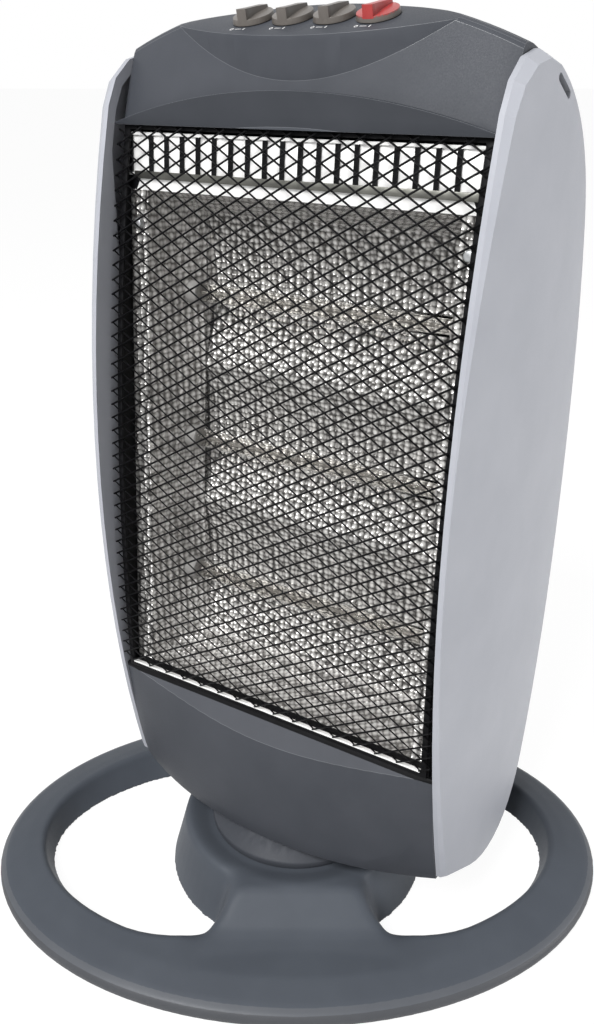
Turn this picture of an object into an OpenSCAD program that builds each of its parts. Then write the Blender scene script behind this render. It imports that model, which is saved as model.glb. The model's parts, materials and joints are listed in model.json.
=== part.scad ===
// Oscillating halogen heater: an oval base with a turning head of three quartz lamps behind a wire guard.
// Millimetres, +Z up. The origin is on the floor below the middle of the base, +Y is the back of the base.
// The head is drawn facing -Y in its own space and is then turned by head_yaw, as it was stopped in its swing.

/* [Head] */
// Turn of the head from straight ahead, seen from above
head_yaw = -33; // [-38:1:38]
// Width between the two side panels
body_w = 224; // [204:1:244]
// Thickness of each side panel at its front edge
side_front_t = 3; // [2.4:0.1:5]
// Extra bulge of a side panel at its middle
side_bulge = 6; // [3:0.5:9]
// Wall of the plastic mouldings
wall = 3; // [2:0.1:3.6]
// Height of the widest part of the front edge arc
front_mid_z = 250; // [240:1:260]
// Reach of the side panels in front of the turning axis
front_reach = 44.5; // [40:0.5:50]
// Radius of the front edge arc
front_r = 837; // [780:1:1000]
// Reach of the head behind the turning axis
back_reach = 131; // [118:1:140]
// Radius of the back arc
back_r = 520; // [480:1:600]
// Height of the rearmost point
back_mid_z = 262; // [250:1:275]
// Radius of the crown of the side panels
crown_r = 130; // [115:1:145]
// Height of the centre of the crown arc
crown_z = 377.5; // [366:0.5:384]
// Radius of the toe below the head
toe_r = 60; // [50:1:70]
// Lowest point of the side panels
toe_low_z = 30; // [28:0.5:40]
// Height of the flat floor of the head
floor_z = 50; // [46:1:54]
// Thickness of the floor of the head
floor_t = 3; // [2:0.5:4]

/* [Hood and console] */
// Radius of the hood's arch from side to side, at its crest
arch_r = 290; // [270:1:330]
// Forward reach of the hood's front edge
hood_reach = 11; // [9:0.5:13]
// Distance of the crest behind the turning axis
crest_back = 19; // [14:1:26]
// Distance of the seam between hood and rear cover behind the axis
seam_back = 45; // [42:1:50]
// Forward tilt of the console face
console_tilt = 20; // [15:1:25]
// Height of the console face at the knobs
console_z = 514.3; // [510:0.1:517]
// Distance of the knobs behind the turning axis
knob_back = 15.5; // [13:0.5:18]
// Half width of the console
console_half_w = 79; // [74:1:84]
// Height of the brow line above the guard at the middle
brow_h = 17; // [10:1:20]

/* [Knobs] */
// Distance between neighbouring knobs
knob_pitch = 24; // [24:0.5:27]
// Diameter of a knob's flange
knob_d = 22; // [18:0.5:22.5]
// Height of a knob's flange
knob_flange_h = 2.6; // [2:0.1:3.5]
// Height of a knob's grip above the console face
knob_h = 6.2; // [5:0.1:9]
// Thickness of a knob's grip
grip_t = 5.6; // [4:0.1:7]
// Diameter of a knob's spindle
spindle_d = 6; // [5:0.5:8]

/* [Guard] */
// Lower edge of the heated front
guard_low_z = 132; // [126:1:140]
// Upper edge of the heated front
guard_top_z = 464; // [456:1:468]
// Largest forward reach of the guard
guard_reach = 37; // [35:0.5:39]
// Height of the guard's largest reach
guard_mid_z = 170; // [150:1:200]
// Radius of the guard's curve
guard_r = 1500; // [1300:10:2000]
// Diameter of the guard's wire
wire_d = 1; // [0.8:0.1:1.4]
// Height of one diamond of the guard
diamond_h = 8; // [7:0.5:20]
// Diamonds that a wire climbs from side to side
diamond_climb = 16; // [12:1:20]
// Number of bars in the vent above the reflector
vent_bars = 18; // [12:1:24]
// Half of the way between the first and the last bar of the vent
vent_half_w = 91.5; // [80:0.5:96]

/* [Lamps] */
// Number of lamps
lamp_count = 3; // [2:1:4]
// Outer diameter of a quartz tube
lamp_d = 11; // [9:0.5:14]
// Wall of a quartz tube
lamp_wall = 1; // [0.8:0.1:1.5]
// Depth of the reflector behind its front edge
reflector_depth = 52; // [46:1:58]
// Thickness of the reflector's sheet
sheet_t = 1; // [0.8:0.1:1.5]

/* [Base] */
// Length of the oval base from side to side
base_w = 400; // [376:1:430]
// Depth of the oval base from front to back
base_d = 285; // [270:1:300]
// Width of the ring at its two ends
ring_end_w = 30.5; // [26:0.5:34]
// Width of the ring at front and back
ring_front_w = 36; // [32:0.5:38]
// Height of the ring at its inner edge
ring_h = 20; // [17:0.5:23]
// Radius of the hub at its foot
hub_foot_r = 84; // [82:0.5:86]
// Radius of the hub's rim
hub_rim_r = 73; // [71:0.5:76]
// Height of the hub's rim
hub_h = 39; // [38.4:0.1:40]
// Height of the hub's dished top below the head
dish_z = 36; // [35.5:0.1:36.5]
// Height of the base moulding above the floor
foot_gap = 1; // [0.6:0.1:2]
// Diameter of a rubber foot
foot_d = 18; // [14:1:22]

/* [Swing drive] */
// Radius of the pedestal's disc
pedestal_r = 56; // [53:0.5:57]
// Radius of the hollow spindle below the head
post_r = 19; // [17:0.5:20]
// Radius of the arm's pin around the turning axis
arm_r = 24; // [23:0.5:26]
// Throw of the motor's crank
crank_r = 15; // [13:0.5:16]
// Distance of the motor behind the turning axis
motor_back = 42; // [40:0.5:44]
// Radius of the motor
motor_r = 24.5; // [20:0.5:25]
// Travel of the tip-over plunger
plunger_travel = 4; // [2:0.5:5]

/* [Hidden] */

// Clearances: gap between touching parts, radial play of a bearing, and drop of an open pivot
seat_gap = 0.3;
play = 0.05;
open_gap = 0.5;

half_w = body_w / 2;
front_c = [front_r - front_reach, front_mid_z];
back_c = [back_reach - back_r, back_mid_z];
crown_c = [back_c[0] + sqrt(pow(back_r - crown_r, 2) - pow(crown_z - back_mid_z, 2)), crown_z];
toe_c = [back_c[0] + sqrt(pow(back_r - toe_r, 2) - pow(toe_low_z + toe_r - back_mid_z, 2)), toe_low_z + toe_r];
brow_fillet = 36;
chin_z = floor_z + 3;
chin_p = [front_c[0] - sqrt(pow(front_r, 2) - pow(chin_z - front_mid_z, 2)), chin_z];

// Points of an arc from angle a0 to a1 around c
function arc(c, r, a0, a1, n) =
    [for (i = [0:n]) let (a = a0 + (a1 - a0) * i / n) c + r * [cos(a), sin(a)]];

// Points of a curve from p0 to p2 that leaves towards p1 and arrives from it
function curve(p0, p1, p2, n) =
    [for (i = [0:n]) let (t = i / n) (1 - t) * (1 - t) * p0 + 2 * t * (1 - t) * p1 + t * t * p2];

function heading(p) = atan2(p[1], p[0]);

// The crossing of two circles on the left, or with side = -1 on the right, of the way from c0 to c1
function crossing(c0, r0, c1, r1, side = 1) =
    let (d = norm(c1 - c0),
         a = (r0 * r0 - r1 * r1 + d * d) / (2 * d),
         h = sqrt(r0 * r0 - a * a),
         e = (c1 - c0) / d)
    c0 + a * e + side * h * [-e[1], e[0]];

brow_c = crossing(front_c, front_r - brow_fillet, crown_c, crown_r - brow_fillet, -1);
toe_start = heading(chin_p - toe_c) + acos(toe_r / norm(toe_c - chin_p));

// Side outline of the head in [y, z]: toe, back, crown, brow and front arcs
side_points = concat(
    arc(toe_c, toe_r, toe_start, heading(toe_c - back_c), 10),
    arc(back_c, back_r, heading(toe_c - back_c), heading(crown_c - back_c), 16),
    arc(crown_c, crown_r, heading(crown_c - back_c), heading(brow_c - crown_c), 14),
    arc(brow_c, brow_fillet, heading(brow_c - crown_c), heading(brow_c - front_c), 4),
    arc(front_c, front_r, heading(brow_c - front_c), 360 + heading(chin_p - front_c), 16));

// Slab between x0 and x1 of the side outline drawn in by t
module side_slab(t, x0, x1) {
    translate([x0, 0, 0])
        rotate([90, 0, 90])
            linear_extrude(x1 - x0)
                offset(delta = -t)
                    polygon(side_points);
}

// Box given by its two corners
module block(low, high) {
    translate(low)
        cube(high - low);
}

module head_space() {
    rotate([0, 0, head_yaw])
        children();
}

// ---- Side panels ----

side_mid_x = half_w + seat_gap + side_front_t + side_bulge;
bulge_back = 38;
bulge_r = (pow(bulge_back + front_reach, 2) + pow(side_bulge, 2)) / (2 * side_bulge);
side_edge_bevel = 4;
side_slot_l = 20;
side_slot_h = 4;

module side_panel() {
    difference() {
        intersection() {
            hull() {
                side_slab(0, half_w + seat_gap, half_w + side_front_t);
                side_slab(side_edge_bevel, half_w + side_front_t, side_mid_x);
            }
            translate([side_mid_x - bulge_r, bulge_back, 0])
                cylinder(h = 600, r = bulge_r, $fn = 360);
        }
        // Hollow towards the inside, behind a closed nose
        intersection() {
            side_slab(2 * wall, half_w, side_mid_x);
            translate([side_mid_x - wall - bulge_r, bulge_back, 0])
                cylinder(h = 600, r = bulge_r, $fn = 360);
            block([half_w, -14, 0], [side_mid_x + 1, 200, 600]);
        }
        // Finger slot near the crown
        translate([half_w, crown_c[0] + (crown_r - 9) * cos(62), crown_z + (crown_r - 9) * sin(62)])
            rotate([62 - 90, 0, 0])
                rotate([0, 90, 0])
                    linear_extrude(side_bulge + 2 * side_front_t + 4)
                        hull()
                            for (s = [-1, 1])
                                translate([0, s * (side_slot_l - side_slot_h) / 2])
                                    circle(d = side_slot_h, $fn = 32);
    }
}

module side_right() {
    color([0.70, 0.73, 0.77])
        head_space()
            side_panel();
}

module side_left() {
    color([0.70, 0.73, 0.77])
        head_space()
            mirror([1, 0, 0])
                side_panel();
}

// ---- Hood with its console ----

// The arch meets the side panels' outline on both sides, so its axis follows from the outline's crown
crest_a = acos((crest_back - crown_c[0]) / crown_r);
axis_z = crown_c[1] + crown_r * sin(crest_a) - sqrt(pow(arch_r, 2) - pow(half_w, 2));
crest_z = axis_z + arch_r;
rear_a = 10;

// The front of the hood's middle profile climbs by hood_pull to hood_turn, and rounds over to crest_end
hood_pull = [2, crest_z - 28.5];
hood_turn = [-9, crest_z - 2.8];
crest_end_a = crest_a - 6;
crest_end_p = crown_c + crown_r * [cos(crest_end_a), sin(crest_end_a)];
crest_end = [-crest_end_p[0], axis_z + norm([crest_end_p[1] - axis_z, half_w])];
crest_fall = (crest_end_p[1] - axis_z) / (crest_end[1] - axis_z) / tan(crest_end_a);
hood_rise = (hood_turn[1] - hood_pull[1]) / (hood_pull[0] - hood_turn[0]);
crest_way = hood_turn[0] - crest_end[0];
crest_step = (crest_end[1] - hood_turn[1] + crest_fall * crest_way) / (hood_rise + crest_fall);
crest_pull = hood_turn + crest_step * [-1, hood_rise];

// Middle profile of the hood and of the upper back in [radius, reach], drawn in by t
function crown_profile(t) = concat(
    [for (p = concat(curve([hood_reach, guard_top_z], hood_pull, hood_turn, 9),
                     curve(hood_turn, crest_pull, crest_end, 6)))
        let (up = min(1, (p[1] - guard_top_z) / (hood_turn[1] - guard_top_z)))
            [p[1] - t * up - axis_z, p[0] - t * (1 - up)]],
    [for (p = concat(arc(crown_c, crown_r, crest_end_a - 3, heading(crown_c - back_c), 9),
                     arc(back_c, back_r, heading(crown_c - back_c), rear_a, 3)))
        [norm([p[1] - axis_z, half_w]) - t, t - p[0]]]);

rear_end_y = back_c[0] + back_r * cos(rear_a);

// Arched crown: the profile turned about a level axis that runs from front to back
module crown(t) {
    translate([0, 0, axis_z])
        rotate([90, 0, 0])
            rotate_extrude($fn = 360)
                polygon(concat([[0, t - rear_end_y], [0, hood_reach - t]], crown_profile(t)));
}

console_front = 7;
console_end_back = 10;
console_rear = 35;
console_lean = 7.5;

// Radius of an arc that bows out by rise over the console's half width
function console_r(rise) = (pow(console_half_w, 2) + pow(rise, 2)) / (2 * rise);

console_front_r = console_r(console_end_back + console_front);
console_rear_r = console_r(console_rear - console_end_back);
console_edge_z = console_z - (knob_back + console_front) * tan(console_tilt);
console_foot_drop = 26;
console_foot_z = console_edge_z - console_foot_drop;
console_rise = 60;
console_foot_r = console_front_r - console_foot_drop * tan(console_lean);

// Children stand on the console face with +Z square to it, below the knob at x
module on_console(x) {
    translate([x, knob_back, console_z])
        rotate([console_tilt, 0, 0])
            children();
}

// Everything below the plane of the console face, drawn in by t
module below_face(t) {
    on_console(0)
        block([-body_w, -body_w, -body_w], [body_w, body_w, -t]);
}

// Lens-shaped console below its tilted face, drawn in by t; its front leans in towards its foot
module console(t) {
    intersection() {
        translate([0, console_front_r - console_front, console_foot_z])
            cylinder(h = console_rise, r1 = console_foot_r - t,
                r2 = console_foot_r - t + console_rise * tan(console_lean), $fn = 360);
        translate([0, console_rear - console_rear_r, console_foot_z])
            cylinder(h = console_rise, r = console_rear_r - t, $fn = 360);
        below_face(t);
    }
}

// Brow: a shallow visor over the guard, under an arch
brow_reach = 2.8;
brow_arch_r = (pow(half_w, 2) + pow(brow_h, 2)) / (2 * brow_h);

module brow() {
    intersection() {
        translate([0, 0, guard_top_z + 1 + brow_h - brow_arch_r])
            rotate([90, 0, 0])
                cylinder(h = 40, r = brow_arch_r, $fn = 360);
        translate([0, -hood_reach + 0.6, guard_top_z])
            rotate([atan2(brow_reach, brow_h), 0, 0])
                block([-half_w, 0, -10], [half_w, 12, 30]);
        block([-half_w, -hood_reach - 9, guard_top_z], [half_w, wall - hood_reach, guard_top_z + 30]);
    }
}

bushing_r = 5;

module hood() {
    color([0.30, 0.31, 0.33])
        head_space()
            difference() {
                union() {
                    intersection() {
                        crown(0);
                        block([-half_w, -hood_reach - 1, guard_top_z], [half_w, seam_back, 600]);
                        below_face(0);
                    }
                    console(0);
                    brow();
                }
                intersection() {
                    union() {
                        crown(wall);
                        console(wall);
                    }
                    below_face(wall);
                    block([wall - half_w, -hood_reach, guard_top_z - 1], [half_w - wall, seam_back + 1, 600]);
                }
                for (i = [0:3])
                    on_console(knob_x(i))
                        translate([0, 0, -wall - 1])
                            cylinder(h = wall + 2, r = bushing_r + play, $fn = 64);
            }
}

// ---- Knobs and their switches ----

knob_r = knob_d / 2;
knob_gap = 0.4;
knob_hollow = 40;
grip_fall = 11;
switch_w = 21;
switch_d = 17;
switch_h = 13;
spindle_depth = wall + switch_h - 3;

function knob_x(i) = (i - 1.5) * knob_pitch;

module knob(i, tint) {
    color(tint)
        head_space()
            on_console(knob_x(i)) {
                translate([0, 0, knob_gap])
                    cylinder(h = knob_flange_h, r1 = knob_r, r2 = knob_r - 0.6, $fn = 96);
                difference() {
                    intersection() {
                        translate([0, 0, knob_gap])
                            cylinder(h = 2 * knob_h, r1 = knob_r - 0.2, r2 = knob_r - 1.6, $fn = 96);
                        block([-grip_t / 2, -knob_r, knob_gap], [grip_t / 2, knob_r, 2 * knob_h]);
                        // The grip's top falls to the back
                        rotate([-grip_fall, 0, 0])
                            block([-knob_r, -2 * knob_r, -knob_h], [knob_r, 2 * knob_r, knob_h]);
                    }
                    // The grip's sides are slightly hollow
                    for (s = [-1, 1])
                        translate([s * (grip_t / 2 + knob_hollow - 0.7), 0, knob_flange_h + knob_gap])
                            cylinder(h = 2 * knob_h, r = knob_hollow, $fn = 180);
                }
                translate([0, 0, -spindle_depth])
                    cylinder(h = spindle_depth + knob_gap + 1, d = spindle_d, $fn = 48);
            }
}

module switch_unit(i) {
    color([0.16, 0.16, 0.17])
        head_space()
            on_console(knob_x(i))
                difference() {
                    union() {
                        block([-switch_w / 2, -switch_d / 2, -wall - switch_h],
                            [switch_w / 2, switch_d / 2, -wall]);
                        translate([0, 0, -wall - 1])
                            cylinder(h = wall + 1, r = bushing_r, $fn = 64);
                        for (s = [-1, 1])
                            translate([s * 6, 0, 0])
                                block([-0.4, -3, -wall - switch_h - 7], [0.4, 3, -wall - switch_h + 1]);
                    }
                    translate([0, 0, -spindle_depth - seat_gap])
                        cylinder(h = spindle_depth + 2, r = spindle_d / 2 + play, $fn = 48);
                }
}

module knob_swing() knob(0, [0.43, 0.41, 0.38]);
module knob_heat_1() knob(1, [0.43, 0.41, 0.38]);
module knob_heat_2() knob(2, [0.43, 0.41, 0.38]);
module knob_heat_3() knob(3, [0.75, 0.24, 0.23]);
module switch_swing() switch_unit(0);
module switch_heat_1() switch_unit(1);
module switch_heat_2() switch_unit(2);
module switch_heat_3() switch_unit(3);

// ---- Rear cover, floor and lower panel ----

rear_wall = 2.5;
louvre_l = 74;
louvre_h = 4;
inlet_x = 62;
inlet_a = -14;
inlet_r = 6.2;

// Children look along +Z out of the back wall, at angle a on the back arc
module on_back(x, a) {
    translate([x, back_c[0] + back_r * cos(a), back_c[1] + back_r * sin(a)])
        rotate([a - 90, 0, 0])
            children();
}

// Side outline with the arched crown on it, drawn in by t and kept inside a box
module rear_block(t, box) {
    intersection() {
        union() {
            side_slab(t, -half_w, half_w);
            intersection() {
                crown(t);
                block([-half_w, 0, back_mid_z], [half_w, 200, 600]);
            }
        }
        block(box[0], box[1]);
    }
}

module rear_cover() {
    color([0.27, 0.28, 0.30])
        head_space()
            difference() {
                rear_block(0, [[-half_w, seam_back + seat_gap, floor_z], [half_w, 200, 600]]);
                rear_block(rear_wall, [[rear_wall - half_w, 0, floor_z - 1], [half_w - rear_wall, 200, 600]]);
                // Two banks of louvres above and below
                for (a = [2:0.85:11.5])
                    for (s = [-1, 1])
                        on_back(s * louvre_l * 0.58, a)
                            block([-louvre_l / 2, -louvre_h / 2, -8], [louvre_l / 2, louvre_h / 2, 4]);
                for (a = [-12:0.85:-6])
                    on_back(0, a)
                        block([-louvre_l / 2, -louvre_h / 2, -8], [louvre_l / 2, louvre_h / 2, 4]);
                on_back(inlet_x, inlet_a)
                    translate([0, 0, -10])
                        cylinder(h = 20, r = inlet_r + play, $fn = 48);
            }
}

module cable_inlet() {
    color([0.10, 0.10, 0.11])
        head_space()
            on_back(inlet_x, inlet_a)
                difference() {
                    union() {
                        translate([0, 0, -6])
                            cylinder(h = 8, r = inlet_r, $fn = 48);
                        translate([0, 0, 0.2])
                            cylinder(h = 7, r1 = inlet_r + 2.3, r2 = inlet_r - 1, $fn = 48);
                    }
                    translate([0, 0, -8])
                        cylinder(h = 24, r = inlet_r - 2.4, $fn = 48);
                }
}

// Bowed cut of the lower panel: a plan arc between its two ends, closed at the back
function bow(y_mid, y_end, x_end, z) =
    let (sag = y_end - y_mid, r = (x_end * x_end + sag * sag) / (2 * sag), half = asin(x_end / r))
    [for (p = concat(arc([0, y_mid + r], r, -90 - half, -90 + half, 24), [[x_end, 8], [-x_end, 8]]))
        [p[0], p[1], z]];

panel_crease_y = -43.3;
panel_crease_z = guard_low_z - 14;
panel_top_y = -34;
panel_back_y = 5;
// Height, middle and ends of the lower panel's cuts
panel_rows = [
    [floor_z - 0.5, -47, -20],
    [floor_z + 9, -47.1, -22.8],
    [floor_z + 21, -46.9, -25.6],
    [floor_z + 34, -46.2, -28.2],
    [floor_z + 47, -45.3, -30.2],
    [floor_z + 60, -44.1, -31.7],
    [guard_low_z, panel_crease_y + 1.8, panel_top_y - 0.6]];

module lower_panel_block(t, x_end) {
    rows = len(panel_rows);
    cuts = [for (k = [0:rows - 1]) let (r = panel_rows[k], down = k == 0 || k == rows - 1 ? t : 0)
        bow(r[1] + t, r[2] + t, x_end, r[0] - down)];
    n = len(cuts[0]);
    polyhedron(points = [for (c = cuts) each c],
        faces = concat(
            [for (i = [0:rows - 2]) for (k = [0:n - 1]) let (a = i * n + k, b = i * n + (k + 1) % n)
                each [[a, b + n, b], [a, a + n, b + n]]],
            [[for (k = [0:n - 1]) k], [for (k = [0:n - 1]) n * rows - 1 - k]]));
}

// Everything above the sloping facet between the guard and the crease, t below its face
module above_facet(t) {
    translate([0, panel_top_y, guard_low_z])
        rotate([atan2(guard_low_z - panel_crease_z, panel_top_y - panel_crease_y), 0, 0])
            block([-body_w, -body_w, -t], [body_w, body_w, body_w]);
}

module lower_panel() {
    color([0.30, 0.31, 0.33])
        head_space()
            difference() {
                lower_panel_block(0, half_w);
                difference() {
                    lower_panel_block(wall, half_w - wall);
                    above_facet(wall);
                }
                block([-half_w - 1, panel_back_y, 0], [half_w + 1, 20, 200]);
                above_facet(0);
            }
}

floor_front_y = -14;
floor_rear_y = 74;

module head_floor() {
    color([0.20, 0.20, 0.21])
        head_space()
            difference() {
                block([wall + seat_gap - half_w, floor_front_y, floor_z],
                    [half_w - wall - seat_gap, floor_rear_y, floor_z + floor_t]);
                translate([0, 0, floor_z - 1])
                    cylinder(h = floor_t + 2, r = post_bore_r, $fn = 64);
            }
}

// ---- Guard ----

guard_half_w = half_w - 1;
guard_bar_x = half_w - 4;
guard_bar_w = 3.5;
guard_bar_t = 1.5;

// Reach of the guard's face at height z, as y
function guard_y(z) = -guard_reach + pow(z - guard_mid_z, 2) / (2 * guard_r);

// Sheet that follows the guard's curve, from depth d0 to d1 behind its face
module guard_sheet(d0, d1) {
    translate([-half_w, guard_r - guard_reach, guard_mid_z])
        rotate([0, 90, 0])
            difference() {
                cylinder(h = body_w, r = guard_r - d0, $fn = 720);
                translate([0, 0, -1])
                    cylinder(h = body_w + 2, r = guard_r - d1, $fn = 720);
            }
}

module guard_frame() {
    color([0.06, 0.06, 0.07])
        head_space()
            intersection() {
                guard_sheet(wire_d + 0.2, wire_d + 0.2 + guard_bar_t);
                difference() {
                    block([-guard_bar_x, -100, guard_low_z + seat_gap],
                        [guard_bar_x, 60, guard_top_z - seat_gap]);
                    block([guard_bar_w - guard_bar_x, -101, guard_low_z + 2.6],
                        [guard_bar_x - guard_bar_w, 61, guard_top_z - 2.5]);
                }
            }
}

// One straight run of wire across the guard: start height z0 at the left edge, rising by slope s, in layer y
wire_parts = 4;
mesh_low_z = guard_low_z + 5.4;
mesh_top_z = guard_top_z - 0.8;
mesh_rise = diamond_climb * diamond_h / (2 * guard_half_w);
wire_slope = atan(mesh_rise);

function wire_ends(z0, s) =
    let (x_a = (s > 0 ? mesh_low_z - z0 : mesh_top_z - z0) / (s * mesh_rise) - guard_half_w,
         x_b = (s > 0 ? mesh_top_z - z0 : mesh_low_z - z0) / (s * mesh_rise) - guard_half_w)
    [max(-guard_half_w, x_a), min(guard_half_w, x_b)];

module guard_wire(z0, s, depth) {
    ends = wire_ends(z0, s);
    across = [-s * sin(wire_slope), cos(wire_slope)];
    r = wire_d / 2 * 1.1;
    rings = [for (i = [0:wire_parts])
        let (x = ends[0] + (ends[1] - ends[0]) * i / wire_parts,
             z = z0 + s * mesh_rise * (x + guard_half_w),
             y = guard_y(z) + depth)
        each [[x + r * across[0], y, z + r * across[1]], [x, y - r, z],
              [x - r * across[0], y, z - r * across[1]], [x, y + r, z]]];
    sides = [for (i = [0:wire_parts - 1]) for (k = [0:3])
        let (a = 4 * i + k, b = 4 * i + (k + 1) % 4)
        each [[a, b, b + 4], [a, b + 4, a + 4]]];
    last = 4 * wire_parts;
    caps = [[3, 2, 1], [3, 1, 0], [last, last + 1, last + 2], [last, last + 2, last + 3]];
    if (ends[1] - ends[0] > 4)
        polyhedron(points = rings, faces = concat(sides, caps));
}

module guard_mesh() {
    span = 2 * guard_half_w * mesh_rise;
    count = floor((mesh_top_z - mesh_low_z + span) / diamond_h);
    layer = wire_d * 0.6;
    color([0.05, 0.05, 0.05])
        head_space() {
            for (i = [0:count])
                guard_wire(mesh_low_z - span + (i + 0.5) * diamond_h, 1, -layer);
            for (i = [0:count])
                guard_wire(mesh_low_z + (i + 0.5) * diamond_h, -1, layer);
        }
}

// ---- Reflector, vent and lamps ----

lip_z = guard_low_z + 4;
lip_back = guard_reach - 9;
lip_l = 8.2;
lip_x = guard_bar_x - guard_bar_w - seat_gap;
reflector_top_z = guard_top_z - 34;
reflector_lean = 4.27;
reflector_h = (reflector_top_z - lip_z) / cos(reflector_lean);
mouth_x = half_w - 17;
back_x = mouth_x - 9;
back_margin = 13;
trough_depth = 10;
vent_low = reflector_h + 7.5;
vent_high = (guard_top_z - 4 - lip_z) / cos(reflector_lean);
trough_h = (reflector_h - 2 * back_margin) / lamp_count;
trough_r = (pow(trough_h / 2, 2) + pow(trough_depth, 2)) / (2 * trough_depth);
lamp_depth = 33;
lamp_half = back_x - 4;
cap_r = lamp_d / 2 + 1.5;
chassis_x = half_w - wall - seat_gap;
chassis_t = 1.2;

// Children use x, depth behind the reflector's front edge and height above its lip
module reflector_space() {
    translate([0, -lip_back, lip_z])
        rotate([-reflector_lean, 0, 0])
            children();
}

function lamp_z(i) = back_margin + (i + 0.5) * trough_h;

module reflector_hollow(t) {
    hull() {
        block([-mouth_x - t, t > 0 ? 0 : -1, -t], [mouth_x + t, 0.5, reflector_h + t]);
        block([-back_x - t, reflector_depth - trough_depth - 0.5, back_margin - t],
            [back_x + t, reflector_depth - trough_depth + t, reflector_h - back_margin + t]);
    }
    intersection() {
        for (i = [0:lamp_count - 1])
            translate([-back_x - t, reflector_depth - trough_r, lamp_z(i)])
                rotate([0, 90, 0])
                    cylinder(h = 2 * (back_x + t), r = trough_r + t, $fn = 180);
        block([-back_x - t, reflector_depth - trough_depth - 1, back_margin - t],
            [back_x + t, reflector_depth + t, reflector_h - back_margin + t]);
    }
}

module reflector() {
    color([0.86, 0.86, 0.85])
        head_space()
            reflector_space()
                difference() {
                    union() {
                        reflector_hollow(sheet_t);
                        block([-chassis_x + chassis_t + seat_gap, 0, -1],
                            [chassis_x - chassis_t - seat_gap, sheet_t, vent_high]);
                        block([-lip_x, -lip_l, -1], [lip_x, 0.5, 0]);
                    }
                    reflector_hollow(0);
                    for (i = [0:lamp_count - 1])
                        translate([-half_w, lamp_depth, lamp_z(i)])
                            rotate([0, 90, 0])
                                cylinder(h = body_w, r = cap_r + seat_gap, $fn = 48);
                }
}

vent_t = 1.2;
vent_bar_w = 2.4;

module vent_comb() {
    x_end = chassis_x - chassis_t - seat_gap;
    pitch = 2 * vent_half_w / (vent_bars - 1);
    color([0.07, 0.07, 0.08])
        head_space()
            reflector_space() {
                difference() {
                    block([-x_end, -seat_gap - vent_t, vent_low], [x_end, -seat_gap, vent_high]);
                    block([vent_bar_w - x_end, -5, vent_low + 1.5], [x_end - vent_bar_w, 5, vent_high - 1.5]);
                }
                for (i = [0:vent_bars - 1])
                    translate([-vent_half_w + i * pitch, 0, 0])
                        block([-vent_bar_w / 2, -seat_gap - vent_t, vent_low],
                            [vent_bar_w / 2, -seat_gap, vent_high]);
            }
}

module lamp_tubes() {
    color([0.88, 0.86, 0.80, 0.6])
        head_space()
            reflector_space()
                for (i = [0:lamp_count - 1])
                    translate([-lamp_half, lamp_depth, lamp_z(i)])
                        rotate([0, 90, 0])
                            difference() {
                                cylinder(h = 2 * lamp_half, d = lamp_d, $fn = 48);
                                translate([0, 0, -1])
                                    cylinder(h = 2 * lamp_half + 2, d = lamp_d - 2 * lamp_wall, $fn = 48);
                            }
}

module lamp_filaments() {
    color([0.55, 0.50, 0.45])
        head_space()
            reflector_space()
                for (i = [0:lamp_count - 1])
                    translate([-lamp_half, lamp_depth, lamp_z(i)])
                        rotate([0, 90, 0])
                            cylinder(h = 2 * lamp_half, d = 2.4, $fn = 24);
}

module lamp_caps() {
    color([0.92, 0.90, 0.86])
        head_space()
            reflector_space()
                for (i = [0:lamp_count - 1])
                    for (s = [0, 1])
                        mirror([s, 0, 0])
                            translate([lamp_half, lamp_depth, lamp_z(i)])
                                rotate([0, 90, 0])
                                    cylinder(h = chassis_x - chassis_t - lamp_half, r = cap_r, $fn = 48);
}

shield_depth = reflector_depth + sheet_t + 6;

module heat_shield() {
    x_end = chassis_x - chassis_t;
    color([0.62, 0.63, 0.64])
        head_space()
            reflector_space()
                difference() {
                    block([-x_end, shield_depth - 14, 4], [x_end, shield_depth + sheet_t, reflector_h]);
                    block([sheet_t - x_end, shield_depth - 15, 3],
                        [x_end - sheet_t, shield_depth, reflector_h + 1]);
                }
}

module chassis_plate() {
    difference() {
        intersection() {
            block([chassis_x - chassis_t, -60, floor_z + floor_t], [chassis_x, 70, guard_top_z - seat_gap]);
            translate([-half_w, guard_r - guard_reach, guard_mid_z])
                rotate([0, 90, 0])
                    cylinder(h = body_w, r = guard_r - wire_d - 0.2 - guard_bar_t - seat_gap, $fn = 720);
        }
        // The lower panel's walls stand here
        block([0, -60, 0], [half_w, panel_back_y + seat_gap, guard_low_z + seat_gap]);
        for (z = [170:60:410])
            translate([0, 45, z])
                rotate([0, 90, 0])
                    cylinder(h = half_w, r = 9, $fn = 48);
    }
}

module chassis_right() {
    color([0.10, 0.10, 0.11])
        head_space()
            chassis_plate();
}

module chassis_left() {
    color([0.10, 0.10, 0.11])
        head_space()
            mirror([1, 0, 0])
                chassis_plate();
}

button_r = 3.4;

module guard_buttons() {
    color([0.45, 0.45, 0.46])
        head_space()
            reflector_space()
                for (s = [-1, 1])
                    translate([s * (mouth_x + 6), 0, reflector_h - 18])
                        rotate([90, 0, 0])
                            cylinder(h = 3, r1 = button_r, r2 = button_r - 0.8, $fn = 48);
}

module thermal_cutout() {
    color([0.80, 0.78, 0.72])
        head_space()
            reflector_space()
                translate([40, shield_depth + sheet_t, reflector_h - 24])
                    rotate([-90, 0, 0]) {
                        cylinder(h = 7, r = 8, $fn = 64);
                        block([-12, -3, 0], [12, 3, 1]);
                    }
}

module terminal_block() {
    color([0.85, 0.84, 0.80])
        head_space()
            difference() {
                block([30, 34, floor_z + floor_t], [78, 52, floor_z + floor_t + 14]);
                for (i = [0:2])
                    translate([38 + i * 16, 43, floor_z + floor_t + 4])
                        cylinder(h = 12, r = 3, $fn = 32);
            }
}

// ---- Pedestal and swing drive ----

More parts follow.
